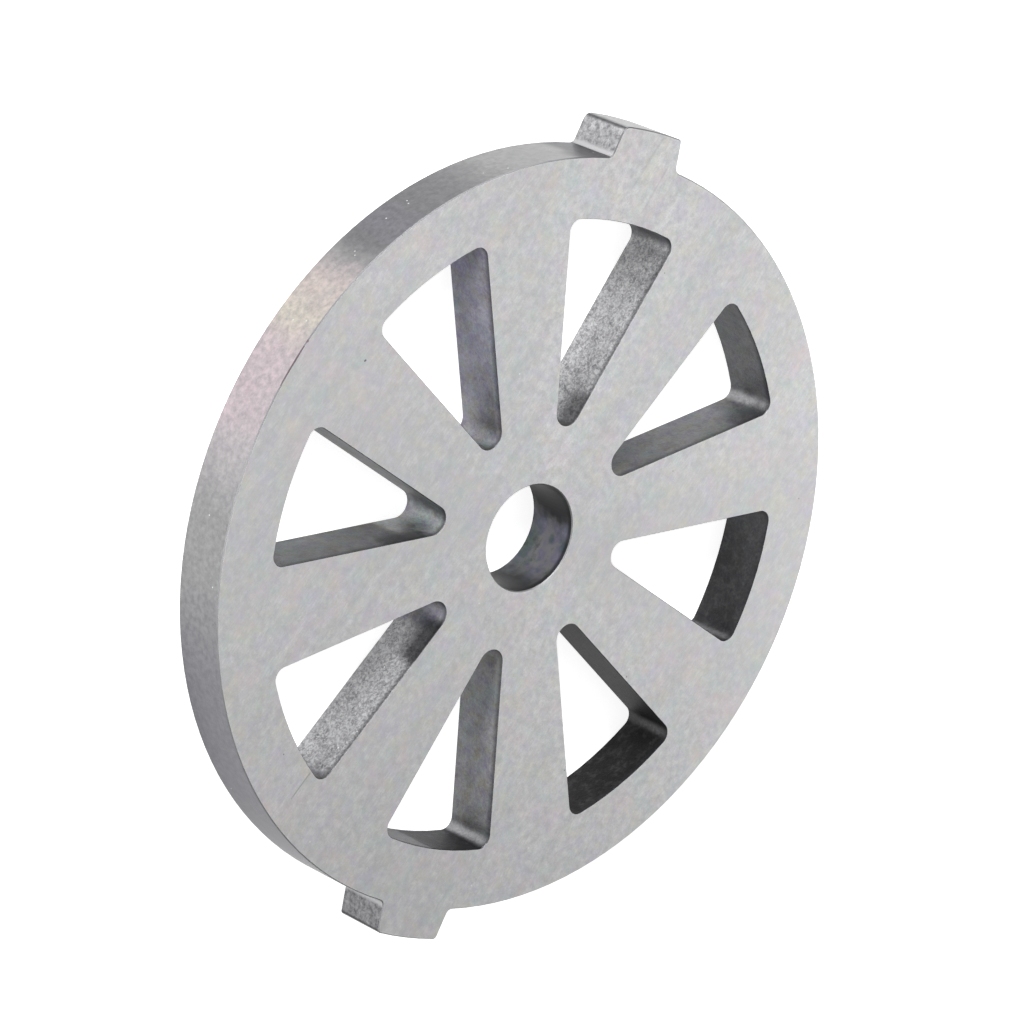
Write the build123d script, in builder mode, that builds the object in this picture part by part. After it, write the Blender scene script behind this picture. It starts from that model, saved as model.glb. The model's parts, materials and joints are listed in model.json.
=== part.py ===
"""Meat grinder plate: one flat steel disc that the knife of a meat grinder sweeps over.

Eight tapered slots open the disc, like the gaps between the spokes of a wheel. The end pin of the
grinder's worm turns in the round bore, and two lugs on the rim drop into notches in the grinder's
mouth, so that the plate stays still while the knife goes round on its front face.

The frame: millimetres, +Z along the axis of the bore. The rear face lies on Z = 0 with its centre
at the origin, the ground front face looks up, and the two lugs point along +Y and -Y.
"""

from build123d import *
from math import radians, sin
import os

# ---- Driving dimensions, in millimetres and degrees ----

# The disc.
plate_diameter = 56.2
plate_thickness = 4.36
bore_diameter = 8.0

# The slots. Each one starts at the hub, widens on its way out and stops at the rim.
slot_count = 8
hub_wall = 4.46             # from the wall of the bore to the round inner end of a slot
rim_width = 4.52            # from the curved outer end of a slot to the edge of the disc
slot_taper = 34.5           # angle between the two straight sides of a slot
slot_inner_round = 1.08     # full round at the inner end
slot_corner_round = 0.9     # where a straight side meets the curved outer end

# The lugs. They stand in line with two opposite slots.
lug_count = 2
lug_height = 2.3            # how far a lug stands out of the rim
lug_root_width = 6.48
lug_tip_width = 5.74
lug_root_round = 0.5
lug_tip_round = 0.3
lug_soft_corner_round = 0.65    # one corner, on the -X side of the +Y lug, is much rounder

# All edges of the two flat faces are broken, just enough to take the burr off.
edge_break = 0.08           # outline and bore
slot_edge_break = 0.04      # slots, which shear the meat against the knife and stay sharper

# ---- Sizes that follow from them ----

plate_radius = plate_diameter / 2
bore_radius = bore_diameter / 2
slot_outer_radius = plate_radius - rim_width
slot_inner_radius = bore_radius + hub_wall

# The straight sides of a slot, drawn on inwards, meet in a point on its centre line. The inner
# round touches both of them, with its centre one radius outside the slot's inner end.
slot_round_centre = slot_inner_radius + slot_inner_round
slot_apex = slot_round_centre - slot_inner_round / sin(radians(slot_taper / 2))

# A lug narrows evenly from its root to its tip. Its flanks are drawn one lug height further both
# ways, in under the edge of the disc and out past the tip, and trimmed there.
lug_tip_radius = plate_radius + lug_height
lug_narrowing = (lug_root_width - lug_tip_width) / 2
lug_foot = (lug_root_width / 2 + lug_narrowing, plate_radius - lug_height)
lug_top = (lug_tip_width / 2 - lug_narrowing, lug_tip_radius + lug_height)
lug_soft_corner = (-lug_tip_width / 2, lug_tip_radius)

# ---- One lug, pointing along +Y ----

with BuildSketch() as lug:
    with BuildLine():
        flank = Line(lug_foot, lug_top)
        opposite_flank = mirror(flank, about=Plane.YZ)
        Line(flank @ 0, opposite_flank @ 0)
        Line(flank @ 1, opposite_flank @ 1)
    make_face()
    # The tip is turned to a circle about the bore.
    Circle(lug_tip_radius, mode=Mode.INTERSECT)

# ---- The outline: a disc with its lugs ----

with BuildSketch() as outline:
    Circle(plate_radius)
    with PolarLocations(0, lug_count):
        add(lug.sketch)
    # Seen from the bore, the corners at the lugs' roots are the nearest, and those at their tips
    # the furthest. The soft corner is sorted to the front, and rounded last.
    fillet(outline.vertices().group_by(SortBy.DISTANCE)[0], lug_root_round)
    tip_corners = outline.vertices().group_by(SortBy.DISTANCE)[-1]
    fillet(tip_corners.sort_by_distance(lug_soft_corner)[1:], lug_tip_round)
    fillet(outline.vertices().sort_by_distance(lug_soft_corner)[0], lug_soft_corner_round)

# ---- One slot, pointing along +Y ----

with BuildSketch() as slot:
    with BuildLine():
        side = PolarLine((0, slot_apex), plate_diameter, 90 - slot_taper / 2)
        opposite_side = mirror(side, about=Plane.YZ)
        Line(side @ 1, opposite_side @ 1)
    make_face()
    # The outer end is a circle about the bore, so that the rim is equally wide all along.
    Circle(slot_outer_radius, mode=Mode.INTERSECT)
    fillet(slot.vertices().group_by(SortBy.DISTANCE)[-1], slot_corner_round)
    fillet(slot.vertices().group_by(SortBy.DISTANCE)[0], slot_inner_round)

# ---- The plate ----

with BuildPart() as grinder_plate:
    # The blank, bored and with its edges broken.
    with BuildSketch():
        add(outline.sketch)
        Circle(bore_radius, mode=Mode.SUBTRACT)
    extrude(amount=plate_thickness)
    chamfer(grinder_plate.faces().filter_by(Axis.Z).edges(), edge_break)

    # The slots, straight through, and the edges that they leave on the two faces.
    with BuildSketch():
        with PolarLocations(0, slot_count):
            add(slot.sketch)
    extrude(amount=plate_thickness, mode=Mode.SUBTRACT)
    slot_edges = grinder_plate.edges(Select.LAST).group_by(Axis.Z)
    chamfer(slot_edges[0] + slot_edges[-1], slot_edge_break)

grinder_plate.part.label = "grinder_plate"

os.makedirs("parts", exist_ok=True)
export_step(grinder_plate.part, "parts/grinder_plate.step")
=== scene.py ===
# %% [markdown]
# # The looks of a meat grinder plate
#
# A grinder plate is a flat steel disc that sits across the mouth of a meat grinder. A knife turns against
# its front face and cuts the meat as it is pressed through the slots. This script takes the finished solid
# of the plate, gives every surface the finish that its making leaves, lays it on a pale floor and lights
# it.
#
# The solid comes as a "frame". Its shape is already exact, so nothing here moves a corner of it: what is
# left is the work of whoever finishes the steel and lights it.

# %% Load the frame
import json
from math import cos, radians, sin

import bpy
from mathutils import Matrix, Vector


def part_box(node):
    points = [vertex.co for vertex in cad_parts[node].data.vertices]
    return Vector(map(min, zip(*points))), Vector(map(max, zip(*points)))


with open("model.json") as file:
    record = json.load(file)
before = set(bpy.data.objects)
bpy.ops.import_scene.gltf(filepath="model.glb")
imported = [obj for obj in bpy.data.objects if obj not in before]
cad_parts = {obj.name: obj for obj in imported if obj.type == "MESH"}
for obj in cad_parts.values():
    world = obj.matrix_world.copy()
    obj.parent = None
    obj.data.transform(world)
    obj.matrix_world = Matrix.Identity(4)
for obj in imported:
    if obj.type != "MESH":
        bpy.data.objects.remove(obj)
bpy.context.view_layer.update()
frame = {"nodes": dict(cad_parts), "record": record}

print("pieces in the frame:", ", ".join(frame["nodes"]))

# %% [markdown]
# Blender works in metres and a maker of steel parts thinks in millimetres, so one number turns one into the
# other. The plate's main sizes are read from the frame, so that every finish can be placed by them.

# %% Sizes of the plate
MM = 0.001
plate = frame["nodes"]["grinder_plate"]
lowest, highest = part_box("grinder_plate")
rim_radius = (highest.x - lowest.x) / 2 / MM
lug_reach = (highest.y - lowest.y) / 2 / MM
thickness = highest.z / MM
mounts = {mount["name"]: mount for mount in frame["record"]["mounts"]}
bore_radius = mounts["bore"]["dims"]["r_mm"]
print(f"rim radius {rim_radius:.2f} mm, lugs out to {lug_reach:.2f} mm, {thickness:.2f} mm thick,"
      f" bore radius {bore_radius:.2f} mm")

# %% [markdown]
# Paint charts and colour pickers give a colour as a hex code, which is stored on the sRGB curve. Blender's
# shaders add light together, so they want the colour on a straight, or linear, scale.

# %% Colours
def linear(hex_code):
    """An sRGB hex code such as "#c4c4c6" as the linear RGBA that a socket takes."""
    channels = [int(hex_code[i:i + 2], 16) / 255 for i in (1, 3, 5)]
    return [c / 12.92 if c <= 0.04045 else ((c + 0.055) / 1.055) ** 2.4 for c in channels] + [1.0]


print("mid grey on a linear scale:", round(linear("#808080")[0], 3))

# %% [markdown]
# A material in Blender is a small graph of nodes. Every graph below is built with one function. It adds a
# node, sets its options, and fills its sockets with numbers, with colours, or with links from nodes added
# before.

# %% Adding a node
def output_of(source):
    """The output to link from: a node stands for the first output that it shows."""
    if isinstance(source, bpy.types.Node):
        return next(output for output in source.outputs if output.enabled)
    return source


def add(tree, kind, sockets, **options):
    """Adds a node. A socket, by name or number, takes a value, a hex colour, an output or a node."""
    node = tree.nodes.new("ShaderNode" + kind)
    for name, value in options.items():
        setattr(node, name, value)
    for key, source in sockets.items():
        socket = node.inputs[key] if isinstance(key, int) else next(
            socket for socket in node.inputs if socket.enabled and socket.name == key)
        source = output_of(source)
        if isinstance(source, bpy.types.NodeSocket):
            tree.links.new(source, socket)
        else:
            socket.default_value = linear(source) if isinstance(source, str) else source
    return node


# %% [markdown]
# A colour is built up like layers of paint. Each layer lies only where its mask is 1, and a mask is any
# pattern between 0 and 1. In the MULTIPLY way of mixing, a layer darkens what is below it instead of hiding
# it.

# %% Laying one colour over another
def coat(tree, colour, mask, strength, top, blend_type="MIX"):
    """A colour with another laid over it where the mask is 1, as strongly as the strength says."""
    share = add(tree, "Math", {0: mask, 1: strength}, operation="MULTIPLY")
    return add(tree, "Mix", {"Factor": share, "A": colour, "B": top}, data_type="RGBA", blend_type=blend_type)


# %% [markdown]
# Every finish on this plate is bare steel, so they all start the same way: a metallic shader, and the place
# on the plate in millimetres, from which each pattern is drawn. Taking the place from the object itself
# keeps the marks fixed to the steel, whatever side it is seen from.
#
# They end the same way too, with a colour, a roughness and a relief. The relief is only bump: it turns the
# light as fine grooves and grains would, and leaves the shape alone.

# %% Starting and ending a steel finish
def start_steel(name):
    """A new metal material, the tree of its nodes, and a node that gives the place on the plate in mm."""
    material = bpy.data.materials.new(name)
    material.use_nodes = True
    tree = material.node_tree
    tree.nodes["Principled BSDF"].inputs["Metallic"].default_value = 1.0
    metres = add(tree, "TexCoord", {}).outputs["Object"]
    place = add(tree, "VectorMath", {0: metres, "Scale": 1 / MM}, operation="SCALE")
    return material, tree, place


def finish_steel(material, colour, roughness, height, relief):
    """Links a colour, a roughness and a height to the material's shader. The relief is its depth in mm."""
    tree = material.node_tree
    shader = tree.nodes["Principled BSDF"]
    bump = add(tree, "Bump", {"Strength": 1.0, "Distance": relief * MM, "Height": height})
    tree.links.new(output_of(colour), shader.inputs["Base Color"])
    tree.links.new(output_of(roughness), shader.inputs["Roughness"])
    tree.links.new(output_of(bump), shader.inputs["Normal"])
    print(f"{material.name}: {len(tree.nodes)} nodes, relief {relief} mm deep")


# %% [markdown]
# Grinding, turning and wiping all leave lines. A line is noise that has been drawn out: squeezed across its
# direction to the width of a scratch, and stretched along it.
#
# Noise values bunch up around a half. Most finishes below spread the middle of that range over the whole
# step from dark to light, or the pattern would hardly show.

# %% Drawn-out noise
NOISE_LOW = 0.34        # noise below this counts as fully dark
NOISE_HIGH = 0.66       # noise above this counts as fully light


def streaks(tree, place, angle, width, length):
    """Lines at an angle from +X in the plane of the plate, with their width and length in millimetres."""
    turned = add(tree, "VectorRotate", {"Vector": place, "Angle": -radians(angle)}, rotation_type="Z_AXIS")
    drawn = add(tree, "VectorMath", {0: turned, 1: (1 / length, 1 / width, 1.0)}, operation="MULTIPLY")
    return add(tree, "TexNoise", {"Vector": drawn, "Scale": 1.0, "Detail": 2.0})


# %% [markdown]
# No steel surface is without small hollows: pinholes of the casting, and dents from lying in a box with
# others. A Voronoi texture scatters one point in every cell of a given size and gives each cell a chance
# colour, so that only some of the cells get a speck.

# %% Scattered specks
def specks(tree, place, spacing, size, share):
    """Round specks of a size in mm, one in a share of the cells that are a spacing in mm apart."""
    cells = add(tree, "TexVoronoi", {"Vector": place, "Scale": 1 / spacing})
    chance = add(tree, "SeparateColor", {0: cells.outputs["Color"]})
    chosen = add(tree, "Math", {0: chance, 1: share}, operation="LESS_THAN")
    edge = size / 2 / spacing
    spot = add(tree, "MapRange", {"Value": cells, "From Min": edge, "From Max": edge / 2},
               interpolation_type="SMOOTHSTEP")
    return add(tree, "Math", {0: spot, 1: chosen}, operation="MULTIPLY")


# %% [markdown]
# A scratch is a line between two points. The graph for one measures how far each place on the steel is from
# that line, and marks only what is nearer than half the scratch's width. The same graph marks one wall of a
# slot.

# %% Along a line
ONLY_FLAT = (1.0, 1.0, 0.0)     # multiplied by a place, it keeps x and y and drops the height
LINE_CORE = 0.4         # share of a line's width over which its mark is at full strength


def near_line(tree, place, start, end, width):
    """1 along a line from start to end, which are x and y on the plate in mm, and 0 elsewhere."""
    start, end = Vector((*start, 0.0)), Vector((*end, 0.0))
    along = end - start
    flat = add(tree, "VectorMath", {0: place, 1: ONLY_FLAT}, operation="MULTIPLY")
    offset = add(tree, "VectorMath", {0: flat, 1: start}, operation="SUBTRACT")
    run = add(tree, "VectorMath", {0: offset, 1: along / along.length_squared}, operation="DOT_PRODUCT")
    held = add(tree, "Clamp", {0: run})
    nearest = add(tree, "VectorMath", {0: along, "Scale": held}, operation="SCALE")
    gap = add(tree, "VectorMath", {0: offset, 1: nearest}, operation="DISTANCE")
    return add(tree, "MapRange", {"Value": gap, "From Min": width / 2, "From Max": LINE_CORE * width / 2},
               interpolation_type="SMOOTHSTEP")


# %% [markdown]
# Wear shows first on edges. Knocks and wiping cloths polish a sharp edge, and a polished edge catches the
# light as a thin bright line, which is painted in here as a painted highlight. Blender's Bevel node gives the
# normal that a rounded edge would have, so where it differs from the surface's own normal, the place is next
# to an edge.

# %% Worn edges and their painted highlight
EDGE_STARTS = 0.995     # how alike the two normals still are where a worn edge starts to show
EDGE_FULL = 0.93        # how alike they are where it is fully bright


def near_edge(tree, width):
    """1 next to an edge and 0 away from it, over a width in mm."""
    rounded = add(tree, "Bevel", {"Radius": width * MM}, samples=6)
    surface = add(tree, "NewGeometry", {}).outputs["True Normal"]
    likeness = add(tree, "VectorMath", {0: rounded, 1: surface}, operation="DOT_PRODUCT")
    return add(tree, "MapRange", {"Value": likeness, "From Min": EDGE_STARTS, "From Max": EDGE_FULL},
               interpolation_type="SMOOTHSTEP")


# %% [markdown]
# Steel is rarely one grey all over, and the lamps light one side of a plate more than another. Here a patch
# is a soft spot that is centred on one azimuth of the plate and fades out over a number of degrees. Most
# patches below are painted light and shade, which make a side lighter or darker as the lamps would. Heat
# from the cutting tool leaves faint straw, pink and lilac tints, and the rim's stains are such tints, partly
# painted reflection.
#
# The border of a real patch is ragged. Pushing each place about with noise before asking whether it lies in
# the patch frays the border, and costs only a few nodes.
#
# Some marks depend on the distance from the axis instead, such as the painted shade at the outer end of a
# slot.

# %% Patches and where they lie
def reach_of(tree, place):
    """How far a place is from the axis of the plate, in mm."""
    flat = add(tree, "VectorMath", {0: place, 1: ONLY_FLAT}, operation="MULTIPLY")
    return add(tree, "VectorMath", {0: flat}, operation="LENGTH")


def patch(tree, place, azimuth, spread):
    """1 at an azimuth around the plate's axis, in degrees, and 0 further from it than the spread."""
    centre = (cos(radians(azimuth)), sin(radians(azimuth)), 0.0)
    flat = add(tree, "VectorMath", {0: place, 1: ONLY_FLAT}, operation="MULTIPLY")
    outward = add(tree, "VectorMath", {0: flat}, operation="NORMALIZE")
    likeness = add(tree, "VectorMath", {0: outward, 1: centre}, operation="DOT_PRODUCT")
    return add(tree, "MapRange", {"Value": likeness, "From Min": cos(radians(spread)), "From Max": 1.0},
               interpolation_type="SMOOTHSTEP")


def stirred(tree, place, size, reach):
    """The place, pushed about by noise of a size in mm by up to a reach in mm, which frays what is drawn."""
    noise = add(tree, "TexNoise", {"Vector": place, "Scale": 1 / size, "Detail": 3.0}).outputs["Color"]
    centred = add(tree, "VectorMath", {0: noise, 1: (0.5, 0.5, 0.5)}, operation="SUBTRACT")
    push = add(tree, "VectorMath", {0: centred, "Scale": 2 * reach}, operation="SCALE")
    return add(tree, "VectorMath", {0: place, 1: push}, operation="ADD")


# %% [markdown]
# ## Ground steel
#
# The two flat faces are ground when the rest has been cut, on a belt or a wheel that passes straight across
# the whole plate. This makes them flat enough to seal against the knife. The steel is left with fine
# straight lines that all run the same way, and it looks silvery but soft, because the lines spread the
# light.
#
# An image of a ground surface could be laid over the faces instead. Drawn-out noise was chosen because it
# has no seams, stays sharp from near by, and its lines can be set in millimetres.

# %% Marks on the faces
GRIND_ANGLE = 66.0      # degrees from +X
GRIND_LINE = 0.13       # mm across a line, coarser than a belt's real 0.03 mm, or the lines wouldn't show
GRIND_RUN = 0.7         # mm along a line
PASS_WIDTH = 0.8        # mm across one pass of the belt
PASS_LENGTH = 14.0      # mm along one pass
CLOUD = 0.6             # mm across a dull cloud
GROUND_RELIEF = 0.0012  # mm deep
WORN_EDGE_AND_HIGHLIGHT = 0.08        # mm of polished edge, with a painted highlight along it
FACE_GLINTS = (1.5, 0.2, 0.2)   # spacing and size in mm, share
FACE_PITS = (1.7, 0.18, 0.12)   # spacing and size in mm, share
FACE_LIGHT_AND_SHADE = [        # azimuth, spread, colour, strength: painted light and shade, where the face is painted lighter or darker
    (90, 22, "#f4f4f5", 0.36),
    (305, 34, "#f4f4f5", 0.18),
    (174, 32, "#8c8c8d", 0.11),
    (2, 28, "#8c8c8d", 0.12),
]
FACE_TINTS = [          # colour, size in mm: faint oil and heat tints
    ("#c8bfe2", 1.6),
    ("#e1dbb9", 2.2),
    ("#b8d6cd", 1.9),
    ("#e6cdd2", 2.6),
]
FACE_TINT_STRENGTH = 0.27
SCRATCHES = [           # start, end, width in mm, strength; the shortest is a single dark pit
    ((-14.9, -21.3), (-13.9, -19.3), 0.16, 0.3),
    ((-0.5, 26.0), (1.0, 30.0), 0.26, 0.09),
    ((1.2, 24.6), (2.3, 28.2), 0.22, 0.09),
    ((-20.3, 10.2), (-20.25, 10.25), 0.2, 0.8),
]
NICKS = [               # start, end, width in mm: along the rim's front edge
    ((-27.15, 7.42), (-26.14, 10.33), 0.24),
    ((-25.95, 10.75), (-25.93, 10.78), 0.3),
]
print(f"{len(SCRATCHES)} scratches and {len(NICKS)} nicks, ground lines at {GRIND_ANGLE:.0f} degrees")


def nicked(tree, place, colour):
    """A colour with the dark nicks that lie on the rim's front edge."""
    for start, end, width in NICKS:
        colour = coat(tree, colour, near_line(tree, place, start, end, width), 1.0, "#544c50")
    return colour


# %% [markdown]
# The lines set the lightness and the relief together, so that a groove is both lower and darker. The passes
# of the belt are wider and set the roughness. Clouds and faint tints lie over both, because a wiped steel
# face keeps a little oil. Small bright glints and dark pinholes come next, and the scratches and edges
# last.

# %% Ground steel
def make_ground_steel():
    """Plain carbon steel, belt ground: silvery, with a soft sheen that is drawn out by the lines."""
    material, tree, place = start_steel("ground_carbon_steel")
    lines = streaks(tree, place, GRIND_ANGLE, GRIND_LINE, GRIND_RUN)
    passes = streaks(tree, place, GRIND_ANGLE, PASS_WIDTH, PASS_LENGTH)
    line_share = add(tree, "MapRange", {"Value": lines, "From Min": 0.3, "From Max": 0.7})
    silver = add(tree, "Mix", {"Factor": line_share, "A": "#d3d3d4", "B": "#e4e4e4"}, data_type="RGBA")
    # Painted light and shade: some sides of the face are painted lighter or darker, as the lamps would light
    # them.
    for azimuth, spread, colour, strength in FACE_LIGHT_AND_SHADE:
        silver = coat(tree, silver, patch(tree, place, azimuth, spread), strength, colour)
    clouds = add(tree, "TexNoise", {"Vector": place, "Scale": 1 / CLOUD, "Detail": 4.0, "Roughness": 0.8})
    cloud_share = add(tree, "MapRange", {"Value": clouds, "From Min": NOISE_LOW, "From Max": NOISE_HIGH})
    silver = coat(tree, silver, cloud_share, 1.0, "#c6c6c8")
    for tint, size in FACE_TINTS:
        blotch = add(tree, "TexNoise", {"Vector": place, "Scale": 1 / size, "Detail": 4.0, "Roughness": 0.7})
        tinted = add(tree, "MapRange", {"Value": blotch, "From Min": 0.5, "From Max": 0.7})
        silver = coat(tree, silver, tinted, FACE_TINT_STRENGTH, tint)
    pits = specks(tree, place, *FACE_PITS)
    silver = coat(tree, silver, specks(tree, place, *FACE_GLINTS), 1.0, "#e9e9ea")
    silver = coat(tree, silver, pits, 1.0, "#8b8a8d")
    for start, end, width, strength in SCRATCHES:
        silver = coat(tree, silver, near_line(tree, place, start, end, width), strength, "#4b4a4c")
    # Polished edges, with a painted highlight along them.
    silver = coat(tree, silver, near_edge(tree, WORN_EDGE_AND_HIGHLIGHT), 1.0, "#ededee")
    silver = nicked(tree, place, silver)
    rough = add(tree, "MapRange", {"Value": passes, "To Min": 0.38, "To Max": 0.46})
    height = add(tree, "Math", {0: lines, 1: pits}, operation="SUBTRACT")
    finish_steel(material, silver, rough, height, GROUND_RELIEF)
    return material


finishes = {"ground": make_ground_steel()}      # in the order of the plate's material slots

# %% [markdown]
# ## Turned steel
#
# The rim and the tips of the lugs are turned on a lathe, so that the plate fits the grinder's mouth. The
# tool leaves very fine rings that run round the rim, over the grain of the steel below them. The rim's
# lightness is painted round it: patches of painted highlight where the lamps would glint, and of painted
# shade between them and beside the upper lug.

# %% Marks on the rim
RING_WIDTH = 0.14       # mm from one ring to the next, drawn coarser than a real feed of 0.05 mm
RING_RUN = 2.5          # mm along a ring before it changes
TURNED_GRAIN = 0.45     # mm across a grain
TURNED_RELIEF = 0.01    # mm deep
RIM_MOTTLE = 0.9        # mm across a blotch of a stain
RIM_GLINTS = (0.8, 0.16, 0.25)  # spacing and size in mm, share
FRAY_SIZE = 1.8         # mm across the ragged parts of a patch's border
FRAY_REACH = 1.4        # mm that they reach in and out
RIM_LIGHT_AND_SHADE = [         # azimuth, spread, colour, strength: painted highlight and painted shade, with a painted shadow beside the lug at 99.5
    (99.5, 5, "#444447", 0.85),
    (132, 18, "#626264", 0.9),
    (159.5, 20, "#9c9a99", 0.95),
    (169, 17, "#9f9b9d", 0.68),
    (226, 34, "#68676d", 0.85),
]
RIM_STAINS_AND_REFLECTION = [          # azimuth, spread, colour, strength: mottled tints on top, partly painted reflection in the bright part
    (153, 8, "#b3ae9b", 0.6),
    (149, 6, "#ab9a9d", 0.5),
    (165, 12, "#ab999f", 0.6),
    (135, 4, "#6f6e7c", 0.3),
]
print(f"{len(RIM_LIGHT_AND_SHADE)} patches and {len(RIM_STAINS_AND_REFLECTION)} stains on the rim")

# %% [markdown]
# The rim's colour is built up like layers of paint: a plain grey, then the patches of painted highlight and
# shade, then the stains. The grain is multiplied over them all, so that it is as strong in a dark patch as in
# a bright one, and a few bright specks come last.

# %% Turned steel
def make_turned_steel():
    """Carbon steel, turned: a satin grey with a fine grain, and painted highlight and shade round the rim."""
    material, tree, place = start_steel("turned_carbon_steel")
    rings = add(tree, "VectorMath", {0: place, 1: (1 / RING_RUN, 1 / RING_RUN, 1 / RING_WIDTH)},
                operation="MULTIPLY")
    lines = add(tree, "TexNoise", {"Vector": rings, "Scale": 1.0})
    grain = add(tree, "TexNoise", {"Vector": place, "Scale": 1 / TURNED_GRAIN, "Detail": 4.0,
                                   "Roughness": 0.65})
    frayed = stirred(tree, place, FRAY_SIZE, FRAY_REACH)
    grey = "#828282"
    # Painted light and shade round the rim: bright where the lamps would glint, dark between and beside the
    # upper lug.
    for azimuth, spread, colour, strength in RIM_LIGHT_AND_SHADE:
        grey = coat(tree, grey, patch(tree, frayed, azimuth, spread), strength, colour)
    mottle = add(tree, "TexNoise", {"Vector": place, "Scale": 1 / RIM_MOTTLE, "Detail": 5.0,
                                    "Roughness": 0.7})
    blots = add(tree, "MapRange", {"Value": mottle, "From Min": 0.4, "From Max": 0.65, "To Min": 0.4})
    # Mottled tints, partly a painted reflection of warm light in the painted highlight.
    for azimuth, spread, colour, strength in RIM_STAINS_AND_REFLECTION:
        stain = add(tree, "Math", {0: patch(tree, frayed, azimuth, spread), 1: blots}, operation="MULTIPLY")
        grey = coat(tree, grey, stain, strength, colour)
    low = add(tree, "MapRange", {"Value": grain, "From Min": NOISE_HIGH, "From Max": NOISE_LOW})
    grey = coat(tree, grey, low, 1.0, "#dcdcde", "MULTIPLY")
    grey = coat(tree, grey, specks(tree, place, *RIM_GLINTS), 1.0, "#b8b8b9")
    rough = add(tree, "MapRange", {"Value": grain, "To Min": 0.38, "To Max": 0.48})
    height = add(tree, "Math", {0: lines, 1: grain}, operation="ADD")
    finish_steel(material, grey, rough, height, TURNED_RELIEF)
    return material


finishes["turned"] = make_turned_steel()

# %% [markdown]
# ## Cast steel
#
# The slots and the flanks of the lugs are never machined: they keep the skin of the mould. It is darker
# than cut steel and grainy like fine sand. Two walls that face the lamps are painted paler and grainier, as
# painted light, and towards the outer ends of the slots the skin is painted nearly black, as painted shade.
#
# All the walls share one material, and each mark is placed by where it lies on the plate. A material for
# every wall would be simpler to read but would repeat the same grain sixteen times.

# %% Where the walls of the slots lie
SLOT_APEX = 5.9         # mm from the axis to the apex, the point where the two walls of a slot would meet
SLOT_HALF_ANGLE = 17.25         # degrees from the middle of a slot to either of its walls
WALL_LENGTH = 17.9      # mm from the apex to the corner where a wall meets the outer end of its slot
print(f"each wall leaves an apex {SLOT_APEX} mm out and turns its corner {WALL_LENGTH} mm further on")


def along_wall(tree, place, azimuth, side, start, end, width):
    """1 along a wall of the slot at an azimuth. Its side is 1 or -1; start and end are mm from the apex."""
    middle = radians(azimuth)
    run = radians(azimuth + side * SLOT_HALF_ANGLE)
    apex = Vector((cos(middle), sin(middle))) * SLOT_APEX
    outward = Vector((cos(run), sin(run)))
    return near_line(tree, place, apex + outward * start, apex + outward * end, width)


# %% [markdown]
# The two walls that face the lamps have their light painted in: their steel is painted bright and rough,
# with small holes and white glints. Two greys are laid over each other in patches, so that some of it
# looks paler than the rest.

# %% Painted light on two walls of the slots
BARE_GLINTS = (0.8, 0.16, 0.15)         # spacing and size in mm, share
BARE_HOLES = (0.7, 0.2, 0.12)           # spacing and size in mm, share


def painted_lit_steel(tree, place, low, mottle):
    """The painted-lit colour of the walls that face the lamps. Low is 1 in the hollows between the grains."""
    bare = coat(tree, "#c3c3c4", low, 1.0, "#adadae")
    worn = coat(tree, "#c4c4c4", low, 1.0, "#979799")
    patchy = add(tree, "MapRange", {"Value": mottle, "From Min": 0.38, "From Max": 0.62})
    bare = coat(tree, worn, patchy, 1.0, bare)
    bare = coat(tree, bare, specks(tree, place, *BARE_GLINTS), 1.0, "#ffffff")
    return coat(tree, bare, specks(tree, place, *BARE_HOLES), 1.0, "#77777a")


# %% [markdown]
# The skin itself is a middle grey. A few walls, or parts of one, get a tone of their own: partly a tint of
# their own and partly painted light and shade for the way each faces the lamps. All of them get faint tints
# of lilac, straw and green.

# %% Marks on the skin
WALL_WIDTH = 3.0        # mm: a mark this wide covers a wall and stops short of the next one
WALL_FRAY = 0.6         # mm across the ragged parts of a mark's border
WALL_FRAY_REACH = 0.5   # mm that they reach in and out
LIT_WALLS_PAINTED = [          # azimuth of the slot, side, start and end in mm from the apex: walls painted bright, as painted light
    (90, -1, 4.0, 16.4),
    (225, 1, 5.3, 16.0),
]
WALL_TONES_AND_SHADE = [          # azimuth of the slot, side, start and end in mm, colour, strength: tints and painted light and shade
    (135, -1, 4.0, 17.0, "#9b99a5", 0.8),
    (135, -1, 2.8, 4.0, "#aba9ad", 0.8),
    (180, 1, 4.0, 17.0, "#6f6f71", 0.7),
    (180, 1, 2.8, 4.4, "#c2c2c3", 0.85),
    (180, -1, 4.0, 17.0, "#818183", 0.8),
    (225, 1, 2.8, 5.0, "#aeabb5", 0.8),
    (270, 1, 4.0, 15.5, "#a4a4a6", 0.8),
]
SKIN_TINTS = [          # colour, size in mm
    ("#ddd6f2", 0.9),
    ("#efe9cf", 1.3),
    ("#d6ebe4", 1.6),
]
print(f"{len(LIT_WALLS_PAINTED)} walls painted lit, {len(WALL_TONES_AND_SHADE)} walls or parts of one with a tone of their own")


def cast_skin(tree, place, frayed):
    """The colour of the skin of the mould, with the tone of each wall, partly painted light and shade."""
    skin = "#89898b"
    for azimuth, side, start, end, colour, strength in WALL_TONES_AND_SHADE:
        wall = along_wall(tree, frayed, azimuth, side, start, end, WALL_WIDTH)
        skin = coat(tree, skin, wall, strength, colour)
    for tint, size in SKIN_TINTS:
        blotch = add(tree, "TexNoise", {"Vector": place, "Scale": 1 / size, "Detail": 5.0, "Roughness": 0.75})
        tinted = add(tree, "MapRange", {"Value": blotch, "From Min": 0.45, "From Max": 0.7})
        skin = coat(tree, skin, tinted, 1.0, tint, "MULTIPLY")
    return skin


# %% [markdown]
# The outer ends of the slots are painted darker, as painted shade, by the distance from the axis, and two
# sides of the plate, which overlap, are painted much darker than the rest. A paler mottle shows a little
# through the shade.

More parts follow.
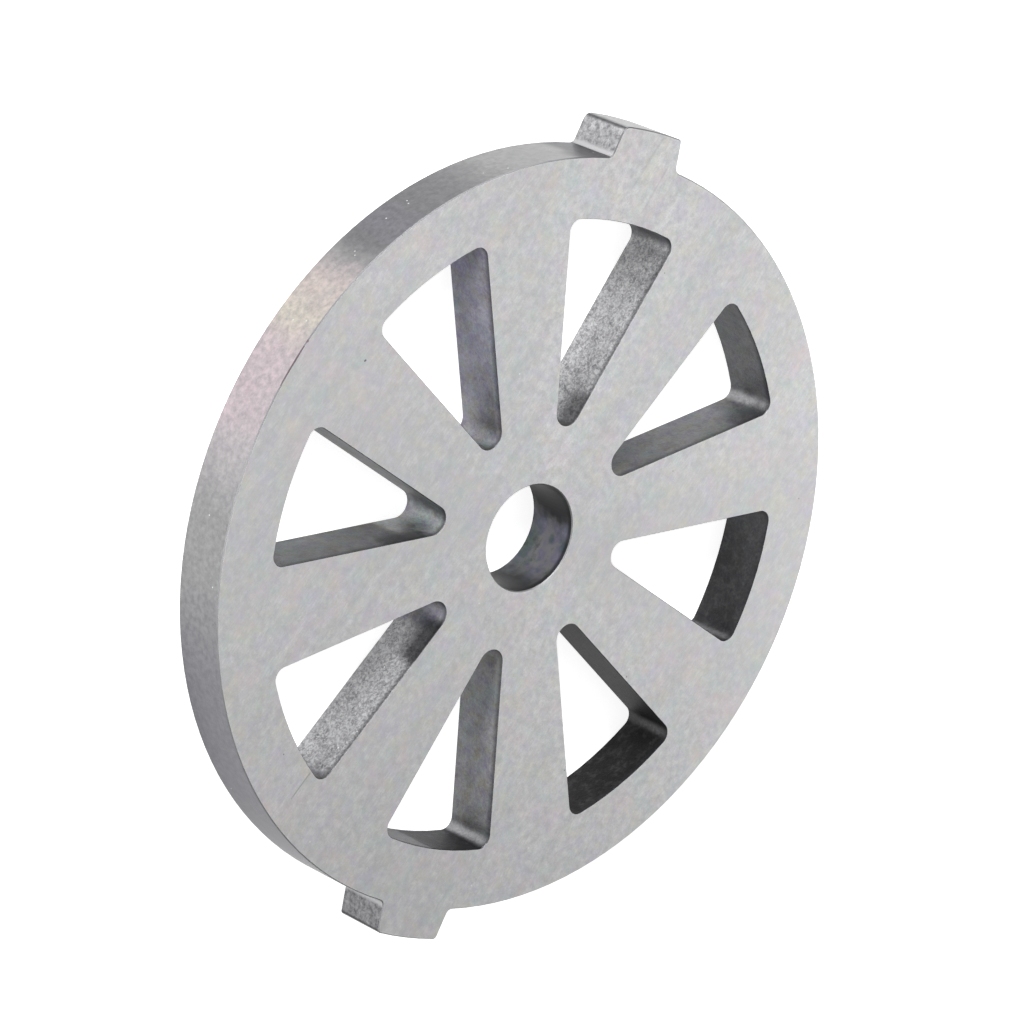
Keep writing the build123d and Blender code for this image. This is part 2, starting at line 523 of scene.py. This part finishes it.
# %% Painted shade at the outer ends of the slots
OUTER_START = 22.9      # mm from the axis, where the painted shade starts
OUTER_END = 23.5        # mm from the axis, where it is at its strongest
OUTER_SHADE = 0.5        # strength of the painted shade
OUTER_SHADOW = ((0.4, -23.6), (4.3, -23.2), 1.8)        # start, end, width, in the slot at -Y
OUTER_SHADOW_STRENGTH = 0.95        # strength of the painted shadow
SHADED_SIDES = [          # azimuth, spread, strength: where the skin is painted nearly black, as painted shade
    (347, 44, 0.78),
    (309, 33, 1.0),
]
SCUFF = 0.12            # strength of the paler mottle in the painted shade
print(f"painted shade from {OUTER_START} mm outwards, nearly black on {len(SHADED_SIDES)} sides")


def shaded_ends(tree, place, frayed, skin, mottle):
    """The skin, painted darker at the outer ends of the slots as painted shade, with a paler mottle through
    it.
    """
    reach = reach_of(tree, place)
    outer = add(tree, "MapRange", {"Value": reach, "From Min": OUTER_START, "From Max": OUTER_END})
    # Painted shade at the outer ends, a painted shadow at -Y, and two sides painted nearly black.
    skin = coat(tree, skin, outer, OUTER_SHADE, "#656567")
    skin = coat(tree, skin, near_line(tree, frayed, *OUTER_SHADOW), OUTER_SHADOW_STRENGTH, "#38383a")
    for azimuth, spread, strength in SHADED_SIDES:
        skin = coat(tree, skin, patch(tree, frayed, azimuth, spread), strength, "#2a292a")
    scuffed = add(tree, "MapRange", {"Value": mottle, "From Min": 0.5, "From Max": 0.7})
    scuffs = add(tree, "Math", {0: scuffed, 1: outer}, operation="MULTIPLY")
    return coat(tree, skin, scuffs, SCUFF, "#838385")


# %% [markdown]
# Painted shade also lies below the front edge. A thin dark line of it follows the whole edge, and in a few
# places it widens to a tongue. A tongue is a mark on a part of a wall, multiplied by how high a place is,
# so that it fades out towards the rear face.

# %% Tongues below the front edge
SHADE_TONGUES = [       # azimuth of the slot, side, start and end in mm from the apex, strength
    (225, 1, 4.3, 6.1, 0.85),
    (90, -1, 2.8, 4.4, 0.6),
    (180, 1, 4.6, 6.8, 0.8),
    (45, -1, 15.5, 17.0, 0.45),
    (90, -1, 14.5, 17.0, 0.2),
]
TONGUE_WIDTH = 2.6      # mm, so that a tongue covers its wall and stops short of the next one
TONGUE_FOOT = 0.45      # share of the thickness at which a tongue starts to show
TONGUE_FULL = 0.75      # share of the thickness at which it is fully dark
FRONT_LINE = 0.5        # mm below the front face, where the dark line starts
FRONT_LINE_FULL = 0.1   # mm below the front face, where it is fully dark
FRONT_LINE_SHADE = 0.6   # strength of the painted shade line
print(f"{len(SHADE_TONGUES)} dark tongues")


def shade_tongues(tree, place, frayed, skin):
    """The skin with tongues of painted shade, and with a painted dark line along the front edge."""
    level = add(tree, "SeparateXYZ", {0: place}).outputs["Z"]
    raised = add(tree, "MapRange", {"Value": level, "From Min": TONGUE_FOOT * thickness,
                                    "From Max": TONGUE_FULL * thickness})
    for azimuth, side, start, end, strength in SHADE_TONGUES:
        tongue = along_wall(tree, frayed, azimuth, side, start, end, TONGUE_WIDTH)
        shadow = add(tree, "Math", {0: tongue, 1: raised}, operation="MULTIPLY")
        skin = coat(tree, skin, shadow, strength, "#38383a")
    front = add(tree, "MapRange", {"Value": level, "From Min": thickness - FRONT_LINE,
                                   "From Max": thickness - FRONT_LINE_FULL})
    return coat(tree, skin, front, FRONT_LINE_SHADE, "#38383b")


# %% [markdown]
# The layers go on in this order: the skin, the painted light on the walls that face the lamps, the painted
# shade at the outer ends, the polish with its painted highlight, and the tongues of painted shade. The polish
# is only on the rounded corners, which have been rubbed by what passed through the slots, and a painted
# highlight lightens them too. The grain is multiplied over all the layers.

# %% Cast steel
GRAIN = 0.20            # mm across a grain
MOTTLE = 0.8            # mm across a cloud of lighter or darker grains
CAST_RELIEF = 0.03      # mm deep
POLISHED_AND_LIT_CORNERS = [    # azimuth of the slot, side, strength: smoother, with a painted highlight
    (45, -1, 1.0),
    (270, 1, 0.7),
    (0, -1, 0.5),
    (315, 1, 0.2),
]
CORNER_LENGTH = 0.1     # mm of wall before the corner that is polished with it
CORNER_WIDTH = 1.6      # mm across the polish
CORNER_ROUGHNESS = 0.28


def make_slot_steel():
    """Cast steel with its skin: dull and sandy, so that the slots look rough beside the ground faces."""
    material, tree, place = start_steel("sand_cast_steel")
    grain = add(tree, "TexNoise", {"Vector": place, "Scale": 1 / GRAIN, "Detail": 2.0, "Distortion": 1.0})
    low = add(tree, "MapRange", {"Value": grain, "From Min": NOISE_HIGH, "From Max": NOISE_LOW})
    mottle = add(tree, "TexNoise", {"Vector": place, "Scale": 1 / MOTTLE, "Detail": 4.0, "Roughness": 0.65})
    frayed = stirred(tree, place, WALL_FRAY, WALL_FRAY_REACH)
    skin = cast_skin(tree, place, frayed)
    bare = painted_lit_steel(tree, place, low, mottle)
    # Painted light: the walls that face the lamps are painted bright.
    for azimuth, side, start, end in LIT_WALLS_PAINTED:
        skin = coat(tree, skin, along_wall(tree, frayed, azimuth, side, start, end, WALL_WIDTH), 1.0, bare)
    skin = shaded_ends(tree, place, frayed, skin, mottle)
    rough = add(tree, "MapRange", {"Value": grain, "To Min": 0.50, "To Max": 0.65})
    for azimuth, side, strength in POLISHED_AND_LIT_CORNERS:
        corner = along_wall(tree, place, azimuth, side, WALL_LENGTH - CORNER_LENGTH, WALL_LENGTH,
                            CORNER_WIDTH)
        # Painted highlight on the polished corner, which also gets a lower roughness.
        skin = coat(tree, skin, corner, strength, "#a7a7a8")
        polish = add(tree, "Math", {0: corner, 1: strength}, operation="MULTIPLY")
        rough = add(tree, "Mix", {"Factor": polish, "A": rough, "B": CORNER_ROUGHNESS})
    skin = shade_tongues(tree, place, frayed, skin)
    dull = add(tree, "MapRange", {"Value": mottle, "From Min": 0.65, "From Max": 0.35})
    skin = coat(tree, skin, dull, 1.0, "#e6e6e7", "MULTIPLY")
    skin = coat(tree, skin, low, 1.0, "#e0e0e2", "MULTIPLY")
    finish_steel(material, skin, rough, grain, CAST_RELIEF)
    return material


finishes["slot"] = make_slot_steel()

# %% [markdown]
# The lugs stop the plate from turning, so their flanks are pressed against the mouth of the grinder
# whenever it runs. They are cast too, but the pressing has made them brighter and has smeared the grain.
# The hollow at the root of a lug gets a painted highlight, a dark line of painted shade runs along the
# corner at its tip, and the lug at -Y is painted darker, as painted shade.

# %% Flanks of the lugs
LUG_GRAIN = 0.35        # mm across a grain
LUG_RELIEF = 0.015      # mm deep
ROOT_HIGHLIGHT = 0.5         # mm from the rim, where the painted highlight in the hollow at the root of a lug ends
TIP_BAND = 0.3          # mm from the tip, where the dark line starts
TIP_SHADE = 0.8          # strength of the dark line of painted shade
LUG_HOLES = (0.7, 0.32, 0.3)    # spacing and size in mm, share
SHADED_LUG = (270, 40)    # azimuth and spread: the lug at -Y is painted darker, as painted shade


def make_lug_steel():
    """Cast steel that has been rubbed: paler and smoother than the slots, with a coarse grain."""
    material, tree, place = start_steel("rubbed_cast_steel")
    grain = add(tree, "TexNoise", {"Vector": place, "Scale": 1 / LUG_GRAIN, "Detail": 4.0, "Roughness": 0.75})
    low = add(tree, "MapRange", {"Value": grain, "From Min": NOISE_HIGH, "From Max": NOISE_LOW})
    grey = coat(tree, "#a6a6a7", low, 1.0, "#656568")
    grey = coat(tree, grey, specks(tree, place, *LUG_HOLES), 1.0, "#59595c")
    # Painted shade: the lug at -Y is darker.
    grey = coat(tree, grey, patch(tree, place, *SHADED_LUG), 1.0, "#d4d4d5", "MULTIPLY")
    reach = reach_of(tree, place)
    # Painted highlight in the hollow at the root of a lug.
    root = add(tree, "MapRange", {"Value": reach, "From Min": rim_radius + ROOT_HIGHLIGHT,
                                  "From Max": rim_radius + ROOT_HIGHLIGHT / 2})
    grey = coat(tree, grey, root, 1.0, "#a2a2a3")
    # Painted shade along the corner at the tip.
    tip = add(tree, "MapRange", {"Value": reach, "From Min": lug_reach - TIP_BAND,
                                 "From Max": lug_reach - TIP_BAND / 2})
    grey = coat(tree, grey, tip, TIP_SHADE, "#2c2c2e")
    rough = add(tree, "MapRange", {"Value": grain, "To Min": 0.45, "To Max": 0.6})
    finish_steel(material, grey, rough, grain, LUG_RELIEF)
    return material


finishes["lug"] = make_lug_steel()

# %% [markdown]
# ## The bore
#
# A reamer is pushed along the bore to size it, and its teeth leave faint lines along the wall. Most of the
# wall is nearly black, one side is paler, with faint tints, and a ring of painted shade lies at the mouth.

# %% Reamed bore
BORE_LINE = 2.0         # mm along a line of the reamer
BORE_LINE_WIDTH = 0.17  # mm across it
BORE_CLOUD = 1.1        # mm across a cloud in the worn side
BORE_RELIEF = 0.003     # mm deep
BORE_FRAY = 1.5         # mm across the ragged parts of the worn side's border
BORE_FRAY_REACH = 1.6   # mm that they reach in and out
PALE_SIDE = (345, 48)   # azimuth and spread of the paler side
BORE_MOUTH = 0.55       # mm below the front face, where the ring of painted shade at the bore's mouth starts
BORE_MOUTH_FULL = 0.3   # mm below the front face, where it is fully dark
BORE_MOUTH_SHADE = 0.7   # strength of the painted shade
BORE_TINTS = [          # colour, size in mm
    ("#a9a2cf", 1.1),
    ("#9fc4b6", 1.4),
]
BORE_TINT_STRENGTH = 0.7


def make_reamed_steel():
    """Carbon steel, reamed: nearly black, with a dull grey patch on one side and painted shade at the mouth.
    """
    material, tree, place = start_steel("reamed_carbon_steel")
    drawn = add(tree, "VectorMath", {0: place, 1: (1 / BORE_LINE_WIDTH, 1 / BORE_LINE_WIDTH, 1 / BORE_LINE)},
                operation="MULTIPLY")
    lines = add(tree, "TexNoise", {"Vector": drawn, "Scale": 1.0})
    clouds = add(tree, "TexNoise", {"Vector": place, "Scale": 1 / BORE_CLOUD, "Detail": 5.0,
                                    "Roughness": 0.6})
    blots = add(tree, "MapRange", {"Value": clouds, "From Min": NOISE_LOW, "From Max": NOISE_HIGH})
    grey = add(tree, "Mix", {"Factor": lines, "A": "#18181a", "B": "#363638"}, data_type="RGBA")
    pale = add(tree, "Mix", {"Factor": blots, "A": "#58575a", "B": "#919190"}, data_type="RGBA")
    for tint, size in BORE_TINTS:
        blotch = add(tree, "TexNoise", {"Vector": place, "Scale": 1 / size, "Detail": 3.0})
        tinted = add(tree, "MapRange", {"Value": blotch, "From Min": 0.45, "From Max": 0.6})
        pale = coat(tree, pale, tinted, BORE_TINT_STRENGTH, tint, "MULTIPLY")
    frayed = stirred(tree, place, BORE_FRAY, BORE_FRAY_REACH)
    grey = coat(tree, grey, patch(tree, frayed, *PALE_SIDE), 1.0, pale)
    level = add(tree, "SeparateXYZ", {0: place}).outputs["Z"]
    # Painted shade: a dark ring at the bore's mouth.
    mouth = add(tree, "MapRange", {"Value": level, "From Min": thickness - BORE_MOUTH,
                                   "From Max": thickness - BORE_MOUTH_FULL})
    grey = coat(tree, grey, mouth, BORE_MOUTH_SHADE, "#141415")
    rough = add(tree, "MapRange", {"Value": lines, "To Min": 0.35, "To Max": 0.5})
    finish_steel(material, grey, rough, lines, BORE_RELIEF)
    return material


finishes["reamed"] = make_reamed_steel()

# %% [markdown]
# ## Small edges
#
# The sharp edges of the rim, the lugs and the bore are broken with a stone, so that they don't cut the hand.
# It leaves a narrow band that is duller than the face next to it. On two stretches, along the rim and
# beside the upper lug, the band is painted darker, as painted shade over the glint that the lamps would
# give it.

# %% Stoned edges
STONE_GRAIN = 0.5       # mm across a grain
STONED_RELIEF = 0.002   # mm deep
STONED_SHADE = [      # azimuth, spread: where the band is painted darker, as painted shade
    (146, 32),
    (97, 9),
]


def make_stoned_steel():
    """Carbon steel, broken with a stone: a soft grey line between the face and the rim."""
    material, tree, place = start_steel("stoned_carbon_steel")
    grain = add(tree, "TexNoise", {"Vector": place, "Scale": 1 / STONE_GRAIN, "Detail": 2.0})
    grey = add(tree, "Mix", {"Factor": grain, "A": "#78787a", "B": "#8c8c8d"}, data_type="RGBA")
    # Painted shade where the lamps would make the band glint.
    for azimuth, spread in STONED_SHADE:
        grey = coat(tree, grey, patch(tree, place, azimuth, spread), 1.0, "#616163")
    grey = nicked(tree, place, grey)
    rough = add(tree, "MapRange", {"Value": grain, "To Min": 0.55, "To Max": 0.65})
    finish_steel(material, grey, rough, grain, STONED_RELIEF)
    return material


finishes["stoned"] = make_stoned_steel()

# %% [markdown]
# The plate is one solid with six finishes. Blender can give every face of a mesh its own material slot, so
# each face is asked two things: which way does it point, and how far is it from the axis? The broken edges
# of the slots are so narrow that they keep the finish of the walls.

# %% Which surface gets which finish
FLAT = 0.99             # a face that points this much up or down is one of the two ground faces
SLOPED = 0.2            # a face that points up or down more than this is a broken edge
BORE_EDGE = 0.5         # mm outside the bore, up to where a broken edge belongs to the bore
RIM_EDGE = 1.0          # mm inside the rim, from where a broken edge belongs to the rim or to a lug
BORE_SLACK = 0.2        # mm outside the bore's radius, up to where a wall belongs to the bore
TIP_SLACK = 0.1         # mm inside the reach of the lugs, from where a wall is the tip of a lug
RIM_SLACK = 0.2         # mm inside the rim's radius, from where a wall is the rim or the flank of a lug
FLANK_SLACK = 0.05      # mm outside the rim's radius, from where it is the flank of a lug


def finish_of(face):
    """The finish of one face of the mesh, from its place and the way it points."""
    reaches = [plate.data.vertices[i].co.xy.length / MM for i in face.vertices]
    level = abs(face.normal.z)
    if level > FLAT:
        return "ground"
    in_slots = bore_radius + BORE_EDGE < min(reaches) < rim_radius - RIM_EDGE
    if level > SLOPED and not in_slots:
        return "stoned"
    if max(reaches) < bore_radius + BORE_SLACK:
        return "reamed"
    if min(reaches) > lug_reach - TIP_SLACK:
        return "turned"
    if min(reaches) > rim_radius - RIM_SLACK:
        return "turned" if max(reaches) < rim_radius + FLANK_SLACK else "lug"
    return "slot"


plate.data.materials.clear()
for material in finishes.values():
    plate.data.materials.append(material)
counts = dict.fromkeys(finishes, 0)
for face in plate.data.polygons:
    finish = finish_of(face)
    face.material_index = list(finishes).index(finish)
    counts[finish] += 1
print("faces by finish:", counts)

# %% [markdown]
# ## The studio
#
# Small parts are often shown on a light table, which is a sheet of opal acrylic lit from below. The sheet
# drowns the shadows, and its light comes up through the slots and on to their walls. A plain plane that
# glows a little does the same. A lamp under a real sheet of glass would need many more samples for the same
# look.

# %% Floor
FLOOR_SIZE = 20.0       # metres, so that it seems to reach the horizon even from a low place
FLOOR_GLOW = 0.85       # how strongly the sheet shines by itself
bpy.ops.mesh.primitive_plane_add(size=FLOOR_SIZE)
floor = bpy.context.object
floor.name = "floor"
sheet = bpy.data.materials.new("opal_acrylic_sheet")
sheet.use_nodes = True
sheet_shader = sheet.node_tree.nodes["Principled BSDF"]
sheet_shader.inputs["Base Color"].default_value = linear("#c8c8c8")
sheet_shader.inputs["Roughness"].default_value = 0.8
sheet_shader.inputs["Specular IOR Level"].default_value = 0.2
sheet_shader.inputs["Emission Color"].default_value = linear("#ffffff")
sheet_shader.inputs["Emission Strength"].default_value = FLOOR_GLOW
floor.data.materials.append(sheet)
print(f"a floor {FLOOR_SIZE} m across that glows at {FLOOR_GLOW}")

# %% [markdown]
# Lamps and cameras in Blender look along their own -Z axis. Typing in their turns is guesswork, so a place
# is given by an azimuth and an elevation, as in a star chart, and the turn is worked out from the place.

# %% Placing things that look at the plate
def direction_of(azimuth, elevation):
    """The direction towards an azimuth, counted from +X, and an elevation above the floor, in degrees."""
    across, up = radians(azimuth), radians(elevation)
    return Vector((cos(up) * cos(across), cos(up) * sin(across), sin(up)))


def aim(thing, place, target, roll=0.0):
    """Puts a lamp or camera at a place, looking at a target, and rolls it about its line of sight."""
    turn = (place - target).to_track_quat("Z", "Y").to_matrix().to_4x4()
    thing.matrix_world = Matrix.Translation(place) @ turn @ Matrix.Rotation(radians(roll), 4, "Z")


# %% [markdown]
# Bare steel shows little of its own colour: what is seen is the room in it. So lighting a plate means
# choosing what it mirrors. Four softboxes stand around it, and the rest is an even grey room. The key and
# the side softbox light the rim from both sides of the camera. The back one is mirrored softly by the ground
# face, which gives the face its sheen, and the top one fills in a little.
#
# A flat face throws a low lamp straight at whoever looks from the side across from it, and goes white there.
# The side softbox is smaller than the others, so that it whites out less of the face.

# %% Lights
SOFTBOX_DISTANCE = 260.0        # mm from the middle of the plate
SOFTBOXES = [           # name, azimuth, elevation, side in mm, watts
    ("key_softbox", 120, 30, 110, 1.11),
    ("side_softbox", 195, 12, 50, 0.70),
    ("back_softbox", 0, 12, 110, 0.28),
    ("top_softbox", 0, 75, 110, 0.075),
]
ROOM_LIGHT = 0.35       # how strongly the room shines from every side
for name, azimuth, elevation, side, watts in SOFTBOXES:
    lamp = bpy.data.lights.new(name, "AREA")
    lamp.size = side * MM
    lamp.energy = watts
    softbox = bpy.data.objects.new(name, lamp)
    bpy.context.scene.collection.objects.link(softbox)
    aim(softbox, direction_of(azimuth, elevation) * SOFTBOX_DISTANCE * MM, Vector((0, 0, 0)))
room = bpy.data.worlds.new("room")
room.use_nodes = True
room_shader = room.node_tree.nodes["Background"]
room_shader.inputs["Color"].default_value = linear("#ffffff")
room_shader.inputs["Strength"].default_value = ROOM_LIGHT
bpy.context.scene.world = room
print(f"{len(SOFTBOXES)} softboxes, {sum(watts for *_, watts in SOFTBOXES):.2f} W in all")

# %% [markdown]
# The plate is seen from in front and above with a long lens from far off, which keeps its circle close to a
# true ellipse. The camera is rolled to one side, so that the lugs stand at the top and the bottom of the
# view while the plate lies flat on the floor. Turning the plate instead would change the place where its
# maker put it.
#
# The Standard view leaves the colours as they are. A filmic view would grey the white floor.

# %% Camera
TARGET = Vector((-2.450, 1.6325, 4.36))         # mm, a point on the front face near the bore
CAMERA_DISTANCE = 444.868       # mm from the target
CAMERA_AZIMUTH = 170.06         # degrees
CAMERA_ELEVATION = 45.26
CAMERA_ROLL = 114.18
LENS = 219.64           # mm
SENSOR_WIDTH = 36.0     # mm
NEAREST = 10.0          # mm, nothing nearer to the camera is drawn
camera = bpy.data.objects.new("camera", bpy.data.cameras.new("camera"))
camera.data.lens = LENS
camera.data.sensor_width = SENSOR_WIDTH
camera.data.clip_start = NEAREST * MM
bpy.context.scene.collection.objects.link(camera)
stand = TARGET + direction_of(CAMERA_AZIMUTH, CAMERA_ELEVATION) * CAMERA_DISTANCE
aim(camera, stand * MM, TARGET * MM, CAMERA_ROLL)
bpy.context.scene.camera = camera
bpy.context.scene.view_settings.view_transform = "Standard"
bpy.context.view_layer.update()
print("camera at", [round(value, 1) for value in camera.matrix_world.translation / MM], "mm")
